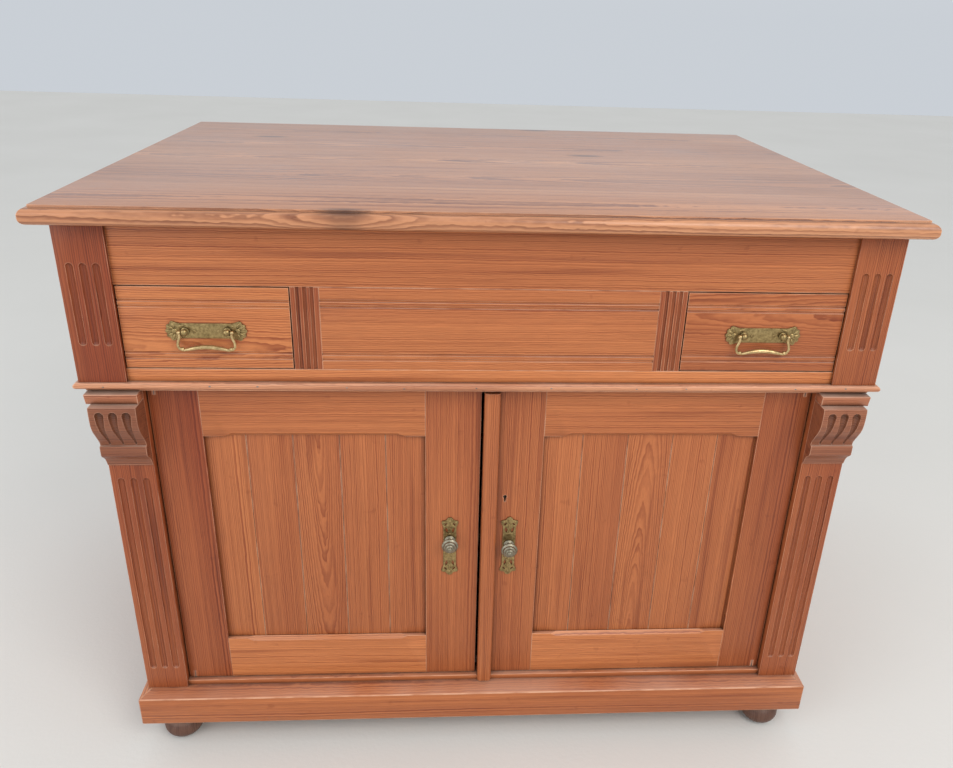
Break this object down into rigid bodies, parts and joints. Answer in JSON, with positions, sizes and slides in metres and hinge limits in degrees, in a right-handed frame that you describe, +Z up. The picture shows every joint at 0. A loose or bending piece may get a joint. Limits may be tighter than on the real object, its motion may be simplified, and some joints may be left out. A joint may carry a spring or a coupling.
{
  "type": "icebox",
  "caption": "Pitch pine cabinet icebox with a lifting lid over a zinc ice tank, drawers above, and a cold cupboard behind paired doors.",
  "frame": {"origin": "on the floor, under the middle of the closed lid", "axes": "+Z up, -Y out of the front, +X to the right when facing the doors"},
  "size_m": [1.038, 0.722, 0.819],
  "materials": {
    "pine": "waxed satin",
    "dark_pine": "waxed satin",
    "plain_pine": "bare, aged",
    "lining_board": "bare board over cork",
    "cork": "raw slab cork",
    "zinc": "dull, spangled",
    "felt": "dense felt",
    "brass": "aged",
    "nickel": "worn plate",
    "steel": "dark"
  },
  "bodies": {
    "carcass": {"back_boards": "plain_pine", "back_rail": "plain_pine", "bottom_board": "plain_pine", "bun_feet": "dark_pine", "centre_panel": "pine", "corbel_left": "dark_pine", "corbel_right": "dark_pine", "cork_slabs": "cork", "cupboard_seal": "felt", "door_pivots": "steel", "drain_pipe": "zinc", "drawer_dividers": "pine", "drawer_rail": "pine", "drawer_runners": "plain_pine", "frieze_rail": "pine", "ice_rack": "plain_pine", "ice_tank": "zinc", "lid_hinge_leaves": "steel", "lid_hinge_pins": "steel", "lower_pilasters": "pine", "mid_deck": "plain_pine", "partitions": "plain_pine", "plinth": "pine", "shelf": "plain_pine", "shelf_bearers": "plain_pine", "side_frames": "pine", "side_panels": "pine", "sill_rail": "pine", "tray_boards": "plain_pine", "upper_pilasters": "pine", "upper_side_boards": "pine", "waist_moulding": "pine", "zinc_lining": "zinc"},
    "lid": {"lid_board": "pine", "lid_pad": "lining_board", "lid_seal": "felt", "lid_hinge_flaps": "steel"},
    "drawer_left": {"drawer_front_left": "pine", "drawer_box_left": "plain_pine", "pull_plate_left": "brass"},
    "bail_left": {"bail_left": "brass"},
    "drawer_right": {"drawer_front_right": "pine", "drawer_box_right": "plain_pine", "pull_plate_right": "brass"},
    "bail_right": {"bail_right": "brass"},
    "door_left": {"door_frame_left": "pine", "door_panel_left": "pine", "door_pad_left": "lining_board", "knob_plate_left": "brass", "door_knob_left": "nickel"},
    "door_right": {"door_frame_right": "pine", "door_panel_right": "pine", "door_pad_right": "lining_board", "knob_plate_right": "brass", "door_knob_right": "nickel", "astragal": "pine", "lock_case": "steel"},
    "lock_bolt": {"lock_bolt": "steel"},
    "flush_bolt": {"flush_bolt": "steel"},
    "drip_pan": {"drip_pan": "zinc"}
  },
  "joints": [
    {"name": "lid_hinge", "type": "hinge", "parent": "carcass", "child": "lid", "pos_m": [0, 0.3453, 0.7927], "axis": [-1, 0, 0], "range_deg": [0, 100]},
    {"name": "door_left_hinge", "type": "hinge", "parent": "carcass", "child": "door_left", "pos_m": [-0.4215, -0.304, 0.1085], "axis": [0, 0, -1], "range_deg": [0, 95]},
    {"name": "door_right_hinge", "type": "hinge", "parent": "carcass", "child": "door_right", "pos_m": [0.4215, -0.304, 0.1085], "axis": [0, 0, 1], "range_deg": [0, 95]},
    {"name": "drawer_left_slide", "type": "slide", "parent": "carcass", "child": "drawer_left", "axis": [0, -1, 0], "range_m": [0, 0.28]},
    {"name": "drawer_right_slide", "type": "slide", "parent": "carcass", "child": "drawer_right", "axis": [0, -1, 0], "range_m": [0, 0.28]},
    {"name": "bail_left_hinge", "type": "hinge", "parent": "drawer_left", "child": "bail_left", "pos_m": [-0.34125, -0.3342, 0.665], "axis": [-1, 0, 0], "range_deg": [0, 90]},
    {"name": "bail_right_hinge", "type": "hinge", "parent": "drawer_right", "child": "bail_right", "pos_m": [0.34125, -0.3342, 0.665], "axis": [-1, 0, 0], "range_deg": [0, 90]},
    {"name": "lock_bolt_slide", "type": "slide", "parent": "door_right", "child": "lock_bolt", "axis": [-1, 0, 0], "range_m": [0, 0.01]},
    {"name": "flush_bolt_slide", "type": "slide", "parent": "door_left", "child": "flush_bolt", "axis": [0, 0, 1], "range_m": [0, 0.01]},
    {"name": "drip_pan_slide", "type": "slide", "parent": "carcass", "child": "drip_pan", "axis": [0, -1, 0], "range_m": [0, 0.3]}
  ]
}
